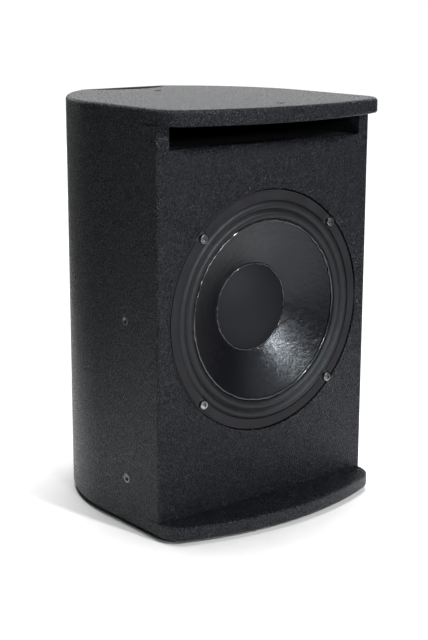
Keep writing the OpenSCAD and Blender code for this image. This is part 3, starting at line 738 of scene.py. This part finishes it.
def rounded_block(x0, y0, x1, y1, corner):
    """A rectangle with round corners, as one face in the XY plane."""
    bm = bmesh.new()
    pen = Pen(bm, x0 + corner, y0).line((x1 - corner, y0))
    pen.arc(x1 - corner, y0 + corner, 90, 6).line((x1, y1 - corner))
    pen.arc(x1 - corner, y1 - corner, 90, 6).line((x0 + corner, y1))
    pen.arc(x0 + corner, y1 - corner, 90, 6).line((x0, y0 + corner))
    pen.arc(x0 + corner, y0 + corner, 90, 5)
    bmesh.ops.remove_doubles(bm, verts=bm.verts, dist=1e-3)
    if not bm.faces:
        bmesh.ops.contextual_create(bm, geom=bm.edges[:])
    return bm


def add_painted_boards():
    top = soften_end_board(end_board(True), END_T, 0)
    shift(top, z=TOP_UNDER)
    up = (0, 0, 1)
    seats = [seat for y in TOP_INSERT_Y for seat in insert_seat((0, y, top_high.z), up, TOP_INSERT_SUNK)]
    top = carved(top, block(bar_low - Vector((0.1, 0.1, 5)), bar_high + Vector((0.1, 5, 5))), *seats)
    add_piece("top_board", top, PAINT, stands_for=["top_panel"], flat_faces=True)

    bottom = soften_end_board(end_board(False), 0, END_T)
    pole_y = (measured("pole_socket")[0].y + measured("pole_socket")[1].y) / 2
    bottom = carved(bottom, rod(POLE_HOLE_R, THROUGH, up, (0, pole_y, -10)))
    add_piece("bottom_board", bottom, PAINT, stands_for=["bottom_panel"], flat_faces=True)

    for side, name in ((-1, "left"), (1, "right")):
        add_piece(
            f"{name}_side_board", side_board(side), PAINT,
            stands_for=[f"{name}_side_panel"], flat_faces=True,
        )
    for name, board, node in (
        ("baffle_board", baffle_board(), "front_baffle"),
        ("rear_board", rear_board(), "rear_panel"),
    ):
        add_piece(name, board, PAINT, stands_for=[node], flat_faces=True)


add_painted_boards()


# ---------- hand hold, feet, inserts ----------


def finger_cup():
    """A moulded cup behind the rear board, open to the rear and at the top."""
    low, high = measured("hand_hold_cup")
    bm = block(low, high)
    inner_edges = edges_where(bm, lambda c: c.y < low.y + 1 or c.z < low.z + 1)
    soften(bm, inner_edges, 12, 6)
    away = [f for f in bm.faces if f.normal.y > 0.9 or f.normal.z > 0.9]
    bmesh.ops.delete(bm, geom=away, context="FACES_ONLY")
    tidy_normals(bm)
    bmesh.ops.solidify(bm, geom=bm.faces[:], thickness=CUP_T)
    return tidy_normals(bm)


def insert(length, direction, at):
    """A threaded insert: a flush flange with a chamfered mouth and a ringed bore."""
    bm = bmesh.new()
    pen = Pen(bm, INSERT_BORE_R + 0.7, 0).line((INSERT_R - 0.3, 0), (INSERT_R, -0.3), (INSERT_R, -1))
    pen.line((INSERT_BARREL_R, -1), (INSERT_BARREL_R, -length), (INSERT_BORE_R + 0.6, -length))
    pitch = 1.25
    turns = int((length - 1) / pitch)
    for turn in range(turns):
        crest, groove = pitch * (turn + 0.5) - length, pitch * (turn + 1) - length
        pen.line((INSERT_BORE_R, crest), (INSERT_BORE_R + 0.6, groove))
    pen.close()
    return aim(spun(bm, steps=40), direction, at)


def grip_bar():
    bar = block(bar_low, bar_high)
    return soften(bar, edges_where(bar, lambda c: c.z > bar_high.z - 0.1), 1.2, 3)


def add_fixings():
    add_piece("steel_grip_bar", grip_bar(), BAR_STEEL, stands_for=["grip_bar"], flat_faces=True)
    add_piece("finger_cup", finger_cup(), CUP_PLASTIC, stands_for=["hand_hold_cup"])
    for side, name in ((-1, "left"), (1, "right")):
        pair = joined(*[insert(PLY_T - 1, (side, 0, 0), (side * HALF_W, y, z)) for y, z in SIDE_INSERTS])
        add_piece(f"{name}_thread_inserts", pair, DULL_ZINC, stands_for=[f"{name}_inserts"])
    face_z = top_high.z - TOP_INSERT_SUNK
    pair = joined(*[insert(END_T - 1 - TOP_INSERT_SUNK, (0, 0, 1), (0, y, face_z)) for y in TOP_INSERT_Y])
    # The top inserts are coloured near-black as painted shade, for the shadow they sit in.
    add_piece("top_thread_inserts", pair, INSERT_SHADE_BLACK, stands_for=["top_inserts"])


add_fixings()


# ---------- driver ----------


def gasket_arcs():
    """Four arcs of facing, each ending just short of a screw head."""
    end_gap = math.degrees(math.asin(8 / SCREW_RING_R))
    sweep = 90 - 2 * end_gap
    bm = bmesh.new()
    rounding = 0.6
    outer, inner = GASKET_OUT_R, GASKET_IN_R + 0.1
    pen = Pen(bm, inner + 3.6, GASKET_T).line((outer, GASKET_T), (outer, rounding))
    pen.arc(outer - rounding, rounding, -90, 3).line((inner + rounding, 0))
    pen.arc(inner + rounding, rounding, -90, 3).line((inner, 0.9), (inner + 3.6, 0.9))
    pen.face()
    spun(bm, -sweep, 60)
    return joined(*[set_round_driver(bm.copy(), angle + end_gap) for angle in SCREW_ANGLES])


def cap_screw():
    """A socket-head screw, its head's top at y = 0 and its shank along +Y."""
    head_r, head_h, shank_r = 5.8, SCREW_HEAD_H, 3
    bm = bmesh.new()
    pen = Pen(bm, 0, 0).line((head_r - 0.9, 0))
    pen.arc(head_r - 0.9, 0.9, 90, 4)
    pen.line((head_r, head_h), (shank_r, head_h), (shank_r, head_h + PLY_T + 2), (0, head_h + PLY_T + 3))
    spun(bm, steps=48)
    hexagon = rod(3.6, 5, (0, 1, 0), (0, -1, 0), 6)
    return carved(bm, hexagon)


def surround_line(reach):
    """Section of the surround's front face from its outer edge in: two rolls and a soft groove between."""
    outer, inner = GASKET_IN_R, SURROUND_IN_R
    seat_y, ridge = GASKET_T - 1, 0.6
    steps = 40
    points = [(outer + reach, seat_y)] if reach else []
    softness = 0.02
    top = math.sqrt(1 + softness) - math.sqrt(softness)
    for i in range(steps + 1):
        share = i / steps
        lobe = (math.sqrt(math.sin(math.tau * share) ** 2 + softness) - math.sqrt(softness)) / top
        points.append((outer + (inner - outer) * share, seat_y + ridge - (ROLL_H - ridge) * lobe**0.8))
    return points


def surround_sector(reach, degrees):
    front = surround_line(reach)
    bm = bmesh.new()
    pen = Pen(bm, *front[0]).line(*front[1:])
    pen.line(*[(r, y + ROLL_T) for r, y in reversed(front)])
    pen.face()
    spun(bm, -degrees, 10)
    return bm


def add_surround():
    count = 24
    sweep = 360 / count
    for i in range(count):
        middle = i * sweep
        at_screw = middle % 90 == 45
        under_gasket = 0 if at_screw else 3.4
        bm = surround_sector(under_gasket, sweep)
        set_round_driver(bm, middle - sweep / 2)
        piece = add_piece(
            f"surround_sector_{i + 1:02d}", bm, SURROUND,
            body=None, stands_for=["surround"], sharp=60,
        )
        blend_radially(piece)


def blend_radially(piece):
    """Bakes the piece's placement into its mesh; it is held to neither the cabinet nor the cone."""
    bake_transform(piece)


def cone_depth(radius):
    """Depth of the cone's front face: nearly straight, with a slight flare towards its edge."""
    share = (CONE_R - radius) / (CONE_R - FORMER_R)
    straight = CONE_EDGE_Y + (NECK_Y - CONE_EDGE_Y) * share
    return straight - CONE_FLARE * math.sin(math.pi * share)


def paper_cone():
    steps = 36
    line = [(CONE_R + (FORMER_R - CONE_R) * i / steps, 0) for i in range(steps + 1)]
    line = [(r, cone_depth(r)) for r, _ in line]
    bm = bmesh.new()
    Pen(bm, *line[0]).line(*line[1:]).line(*[(r, y + CONE_T) for r, y in reversed(line)]).close()
    return shift(spun(bm, steps=144), z=AXIS_Z)


def dust_cap():
    rise = CAP_EDGE_Y - cap_low.y
    dome_r = (CAP_R**2 + rise**2) / (2 * rise)
    half_angle = math.degrees(math.asin(CAP_R / dome_r))
    seat = cone_depth(CAP_R) - 0.3
    bm = bmesh.new()
    pen = Pen(bm, 0, seat - rise)
    pen.arc(0, seat - rise + dome_r, half_angle, 20)
    end = pen.end.co.copy()
    pen.line((end.x - 0.2, end.y + CAP_T))
    pen.arc(0, seat - rise + dome_r, -half_angle + 0.1, 20)
    pen.line((0, seat - rise + CAP_T))
    return shift(spun(bm, steps=120), z=AXIS_Z)


def glue_ring(radius, width, height, rough, seed):
    """A bead laid by hand round the axis on the cone's face: its width and height wander."""
    bm = bmesh.new()
    pen = Pen(bm, radius + width, cone_depth(radius + width) + 0.3)
    pen.arc(radius, cone_depth(radius + width) + 0.3, -180, 8).close()
    spun(bm, steps=288)
    for vertex in bm.verts:
        spot = vertex.co * 0.16 + Vector((seed, 0, 0))
        wander = noise.noise(spot) * rough + noise.noise(spot * 3.1) * rough * 0.5
        outward = Vector((vertex.co.x, 0, vertex.co.z)).normalized()
        vertex.co += outward * wander * width
        vertex.co.y -= wander * height * 0.6
    return shift(bm, z=AXIS_Z)


def add_driver():
    add_piece("gasket_arcs", gasket_arcs(), GASKET, stands_for=["front_gasket"])
    screw = shift(cap_screw(), y=GASKET_T - SCREW_HEAD_H)
    screws = joined(*[copied(screw, Matrix.Translation(polar(a, SCREW_RING_R))) for a in SCREW_ANGLES])
    add_piece("socket_head_screws", screws, SCREW_STEEL, stands_for=["driver_screws"])
    add_surround()
    add_piece("paper_cone", paper_cone(), CONE_PAPER, "moving_cone", ["cone"], sharp=60)
    add_piece("domed_dust_cap", dust_cap(), CAP_PAPER, "moving_cone", ["dust_cap"], sharp=60)
    cap_bead = glue_ring(CAP_R + 0.5, 1.3, 1.2, 0.9, 3)
    add_piece("dust_cap_glue", cap_bead, GLUE, "moving_cone", sharp=70)
    edge_bead = glue_ring(CONE_R - 2.4, 1.9, 1.6, 0.5, 8)
    add_piece("cone_edge_glue", edge_bead, GLUE, "moving_cone", sharp=70)


add_driver()


# ---------- rear fittings and feet ----------


def connector_plate():
    plate = rounded_block(plate_low.x, plate_low.z, plate_high.x, plate_high.z, 5.5)
    extruded(plate, plate_high.y - plate_low.y)
    soften(plate, edges_where(plate, lambda c: c.z < 0.01), 0.5, 2)
    laid_upright(plate, plate_high.y)
    return carved(plate, *[rod(12.2, 20, (0, 1, 0), (0, plate_high.y - 10, z)) for z in SOCKET_Z])


def socket(node):
    """A round four-pole chassis socket: square flange, deep ring-shaped well and a keyed centre post."""
    low, high = measured(node)
    flange = rounded_block(-13, -15.5, 13, 15.5, 3)
    extruded(flange, 2)
    soften(flange, edges_where(flange, lambda c: c.z < 0.01), 0.6, 3)
    flange = carved(laid_upright(flange, 0), rod(11.4, 10, (0, 1, 0), (0, -5, 0)))
    barrel = bmesh.new()
    pen = Pen(barrel, 0, -8).line((2.6, -8), (2.6, -2.5), (3.1, -2), (4.7, -2), (5.2, -2.5), (5.2, -16))
    pen.line((11, -16), (11, -0.2), (11.4, 0.4), (11.8, 0.4), (12, 0.1), (12, -26), (0, -26))
    spun(barrel, steps=64)
    keys = [block((-1.2, -12, 3.6), (1.2, 1, 6)), block((-0.8, -12, -6), (0.8, 1, -3.6))]
    notches = [block((-1.6, -7, 10), (1.6, -0.8, 11.6)), block((-1, -7, -11.6), (1, -0.8, -10))]
    barrel = carved(barrel, *keys, *notches)
    tags = [block((x - 2.4, -35, -0.4), (x + 2.4, -25.5, 0.4)) for x in (-5, 5)]
    centre_z = SOCKET_Z[1] if (low.z + high.z) / 2 > PLATE_Z else SOCKET_Z[0]
    return shift(joined(flange, barrel, *tags), y=high.y, z=centre_z)


def foot():
    """A turned rubber foot with a ribbed rim and a hole for its screw, its top at z = 0."""
    bm = bmesh.new()
    groove_r = FOOT_R - 0.4
    pen = Pen(bm, 2.4, 0).line((FOOT_R, 0), (FOOT_R, 1.2), (groove_r, 1.5), (groove_r, 2), (FOOT_R, 2.3))
    pen.line((FOOT_R, 3.6)).arc(FOOT_R - 1.4, 3.6, 90, 5)
    pen.line((6.2, 5), (5.2, 4), (5.2, 1.2), (2.4, 1.2)).close()
    return move(spun(bm, steps=48), Matrix.Rotation(math.radians(-90), 4, "X"))


def convoluted_pad(width, height, thickness, pitch=24, hollow=10):
    """Egg-crate foam on z = 0, its peaks upwards and its edges left flat."""
    bm = bmesh.new()
    across, up = round(width / pitch), round(height / pitch)
    bmesh.ops.create_grid(bm, x_segments=across * 8, y_segments=up * 8, size=0.5)
    bmesh.ops.scale(bm, vec=(width, height, 1), verts=bm.verts)
    extruded(bm, thickness)
    for vertex in bm.verts:
        x, y, z = vertex.co
        if z > thickness - 0.1:
            inset = min(1, (width / 2 - abs(x)) / 8, (height / 2 - abs(y)) / 8)
            along_x, along_y = math.tau * x * across / width, math.tau * y * up / height
            peaks = 0.5 + 0.25 * (math.cos(along_x) + math.cos(along_y))
            unevenness = noise.noise(vertex.co * 0.05) * 0.8
            vertex.co.z -= inset * (hollow * (1 - peaks) + 0.8 + unevenness)
    return bm


def add_pads():
    low, high = measured("side_lining")
    thick = 25
    middle = (low + high) / 2
    for side, name in ((-1, "left"), (1, "right")):
        pad = convoluted_pad(high.y - low.y, high.z - low.z, thick)
        turn = Matrix(((0, 0, -side), (1, 0, 0), (0, 1, 0))).to_4x4()
        move(pad, Matrix.Translation((side * high.x, middle.y, middle.z)) @ turn)
        tidy_normals(pad)
        piece = add_piece(f"{name}_foam_pad", pad, FOAM, stands_for=["side_lining"], sharp=60)
    low, high = measured("rear_lining")
    pad = convoluted_pad(high.x - low.x, high.z - low.z, high.y - low.y)
    shift(laid_upright(pad, high.y), z=(low.z + high.z) / 2)
    piece = add_piece("rear_foam_pad", pad, FOAM, stands_for=["rear_lining"], sharp=60)


def driver_seal():
    """The flat ring of foam tape behind the driver's flange, pressed thin, with its screw holes."""
    low, high = measured("driver_seal")
    outer, inner, bevel = high.x, CUT_R + 0.4, 0.3
    bm = bmesh.new()
    pen = Pen(bm, inner, low.y).line((outer - bevel, low.y), (outer, low.y + bevel), (outer, high.y - bevel))
    pen.line((outer - bevel, high.y), (inner, high.y)).close()
    ring = shift(spun(bm, steps=150), z=AXIS_Z)
    return carved(ring, *[rod(4.4, 20, (0, 1, 0), polar(a, SCREW_RING_R), 24) for a in SCREW_ANGLES])


def add_rear_fittings():
    plate = connector_plate()
    add_piece("sheet_connector_plate", plate, PLATE, stands_for=["connector_plate"])
    for node in ("upper_socket", "lower_socket"):
        add_piece(f"{node}_body", socket(node), SOCKET_PLASTIC, stands_for=[node])
    low, high = measured("rubber_feet")
    rows = ((high.x - FOOT_R, low.y + FOOT_R), (REAR_FOOT_X, high.y - FOOT_R))
    places = [(x * s, y) for x, y in rows for s in (-1, 1)]
    feet = joined(*[copied(foot(), Matrix.Translation((x, y, 0))) for x, y in places])
    add_piece("turned_rubber_feet", feet, RUBBER, stands_for=["rubber_feet"])
    add_pads()
    seal = add_piece("foam_seal_ring", driver_seal(), FOAM, stands_for=["driver_seal"])


add_rear_fittings()


# ---------- cloth spider and tinsel leads ----------


def spider_sector(degrees):
    low, high = measured("spider")
    inner, outer, foot_r = SPIDER_IN_R, high.x, SPIDER_FOOT_R
    waves, steps, swing = 4, 12, 1.6
    base = high.y - swing - 0.5
    pitch = (foot_r - 1 - inner) / waves
    line = [
        (inner + i * pitch / steps, base - swing * math.sin(math.tau * i / steps))
        for i in range(waves * steps + 1)
    ]
    bm = bmesh.new()
    pen = Pen(bm, *line[0]).line(*line[1:])
    pen.line((outer, base), (outer, high.y), (foot_r + 0.5, high.y), (foot_r + 0.5, base + 0.5))
    pen.line(*[(r, y + 0.5) for r, y in reversed(line)])
    pen.face()
    return spun(bm, -degrees, 8)


def add_spider():
    count = 16
    sweep = 360 / count
    for i in range(count):
        sector = set_round_driver(spider_sector(sweep), i * sweep - sweep / 2)
        piece = add_piece(
            f"spider_sector_{i + 1:02d}", sector, SPIDER_CLOTH,
            body=None, stands_for=["spider"], sharp=60,
        )
        blend_radially(piece)


def tube_along(points, radius):
    """A round braid through the points, made by drawing one ring along them."""
    bm = bmesh.new()
    points = [Vector(p) for p in points]
    heading = (points[1] - points[0]).normalized()
    bmesh.ops.create_circle(bm, cap_ends=False, segments=10, radius=radius)
    move(bm, Matrix.Translation(points[0]) @ heading.to_track_quat("Z", "Y").to_matrix().to_4x4())
    rim = bm.edges[:]
    for i in range(1, len(points)):
        ahead = (points[min(i + 1, len(points) - 1)] - points[i - 1]).normalized()
        grown = bmesh.ops.extrude_edge_only(bm, edges=rim)["geom"]
        ring = {g for g in grown if isinstance(g, bmesh.types.BMVert)}
        rim = [g for g in grown if isinstance(g, bmesh.types.BMEdge) and all(v in ring for v in g.verts)]
        turn = heading.rotation_difference(ahead).to_matrix()
        for vertex in ring:
            vertex.co = points[i] + turn @ (vertex.co - points[i - 1])
        heading = ahead
    bmesh.ops.holes_fill(bm, edges=[e for e in bm.edges if e.is_boundary])
    return tidy_normals(bm)


def smooth_path(points, steps):
    """Points on a smooth curve through the given ones."""
    points = [Vector(p) for p in points]
    ends = [points[0] * 2 - points[1], *points, points[-1] * 2 - points[-2]]
    path = []
    for a, b, c, d in zip(ends, ends[1:], ends[2:], ends[3:]):
        for i in range(steps):
            t = i / steps
            square, cube = 2 * a - 5 * b + 4 * c - d, 3 * b - a - 3 * c + d
            path.append(0.5 * (2 * b + (c - a) * t + square * t**2 + cube * t**3))
    return [*path, points[-1]]


def add_tinsel_leads():
    low, high = measured("tinsel_leads")
    reach_out, reach_in = 97, 84
    for side, name in ((-1, "left"), (1, "right")):
        x = side * LEAD_X
        start, end = Vector((x, high.y - 1.6, AXIS_Z - reach_out)), Vector((x, low.y + 1, AXIS_Z - reach_in))
        middle = (start + end) / 2 + Vector((0, 0, -1.5))
        bow = [start, start + Vector((0, -8, -1)), middle, end + Vector((0, 5, -2)), end]
        lead = tube_along(smooth_path(bow, 5), 0.8)
        piece = add_piece(f"{name}_tinsel_lead", lead, BRAID, body=None, stands_for=["tinsel_leads"])
        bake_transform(piece)


add_spider()
add_tinsel_leads()


# ---------- finishes of the CAD nodes that are shown as they are ----------

CARRIED = {
    "port_shelf": PORT_PAINT,
    "shelf_battens": PLYWOOD,
    "rear_brace": PLYWOOD,
    "plate_screws": BLACK_ZINC,
    "socket_screws": BLACK_ZINC,
    "pole_socket": POWDER_COAT,
    "pole_socket_screws": BLACK_ZINC,
    "foot_screws": BRIGHT_ZINC,
    "driver_frame": POWDER_COAT,
    "t_nuts": BRIGHT_ZINC,
    "coil_former": FORMER_FILM,
    "coil_winding": WIRE,
    "front_plate": PLATE_STEEL,
    "magnet": FERRITE,
    "back_plate": PLATE_STEEL,
    "terminal_strip": BOARD,
    "speaker_cable": CABLE_JACKET,
}
for name, finish in CARRIED.items():
    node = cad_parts[name]
    node.data.materials.clear()
    node.data.materials.append(finish)


# ---------- studio ----------


def add_floor():
    """A dark studio floor with a pale wedge painted on it as a pool of light along the camera's line of
    sight, which widens away from the camera.
    """
    bm = bmesh.new()
    bmesh.ops.create_circle(bm, cap_ends=True, segments=96, radius=400)
    mesh = bpy.data.meshes.new("studio_floor")
    bm.to_mesh(mesh)
    bm.free()
    floor = bpy.data.objects.new("studio_floor", mesh)
    bpy.context.scene.collection.objects.link(floor)
    f = Finish("painted_light_pool", (0.82, 0.82, 0.82), 0.9, Specular_IOR_Level=0.0)
    ahead, aside = (0.628, 0.778, 0), (0.778, -0.628, 0)
    along, across = (
        f.node("ShaderNodeVectorMath", {0: f.at, 1: way}, operation="DOT_PRODUCT").outputs["Value"]
        for way in (ahead, aside)
    )
    widening = f.maths("MULTIPLY", f.maths("MAXIMUM", along, 0), 0.18)
    off_painted_pool = f.maths("SUBTRACT", f.maths("ABSOLUTE", f.maths("SUBTRACT", across, 0.1), 0), widening)
    fibre = f.spread(f.noise(40, 2), 0.3, 0.7, 0.97, 1.0)
    # Painted light: the floor is pale only in this wedge along the camera's line of sight, and fades to dark
    # beside it.
    edge = f.maths("MULTIPLY", f.spread(off_painted_pool, 0.38, 0.62, 1, 0.14), fibre)
    f.set(Base_Color=f.mixed(edge, (0.0, 0.0, 0.0), (0.84, 0.84, 0.84)))
    mesh.materials.append(f.material)


def add_sun(name, direction, spread, strength):
    light = bpy.data.lights.new(name, "SUN")
    light.energy = strength
    light.angle = math.radians(spread)
    lamp = bpy.data.objects.new(name, light)
    lamp.rotation_euler = Vector(direction).to_track_quat("-Z", "Y").to_euler()
    bpy.context.scene.collection.objects.link(lamp)


def add_softbox(name, place, target, width, height, watts):
    light = bpy.data.lights.new(name, "AREA")
    light.shape = "RECTANGLE"
    light.size, light.size_y = width, height
    light.energy = watts
    lamp = bpy.data.objects.new(name, light)
    lamp.location = place
    lamp.rotation_euler = (Vector(target) - Vector(place)).to_track_quat("-Z", "Y").to_euler()
    bpy.context.scene.collection.objects.link(lamp)


def add_camera():
    place = Vector((-1.1610, -1.4552, 0.6865))
    ahead = Vector((0.6109, 0.75641, -0.23377)).normalized()
    camera = bpy.data.cameras.new("camera")
    camera.lens = 78.71
    camera.sensor_width = 36
    holder = bpy.data.objects.new("camera", camera)
    roll = Matrix.Rotation(math.radians(-0.188), 4, ahead)
    aimed = ahead.to_track_quat("-Z", "Y").to_matrix().to_4x4()
    holder.matrix_world = Matrix.Translation(place) @ roll @ aimed
    bpy.context.scene.collection.objects.link(holder)
    bpy.context.scene.camera = holder


def add_world(tone, strength):
    world = bpy.data.worlds.new("studio")
    world.use_nodes = True
    background = world.node_tree.nodes["Background"]
    background.inputs["Color"].default_value = (*tone, 1)
    background.inputs["Strength"].default_value = strength
    bpy.context.scene.world = world


add_floor()
add_camera()
add_world((0.88, 0.94, 1.0), 0.03)
add_sun("overhead_bank", (-0.1, -0.15, -1), 35, 4.0)
add_softbox("rear_softbox", (2.5, 3.3, 1.6), (0, 0, 0.5), 5.2, 1.6, 42)
add_softbox("key_softbox", (0.3, -2.7, 1.68), (0, 0, 0.3), 0.2, 0.2, 78)
add_softbox("side_fill", (-0.8, -2.7, 1.1), (0, 0, 0.4), 0.2, 0.2, 24)
add_softbox("right_fill", (2.0, -2.5, 1.45), (0, 0, 0.4), 1.2, 0.9, 5)
bpy.context.scene.view_settings.view_transform = "Standard"
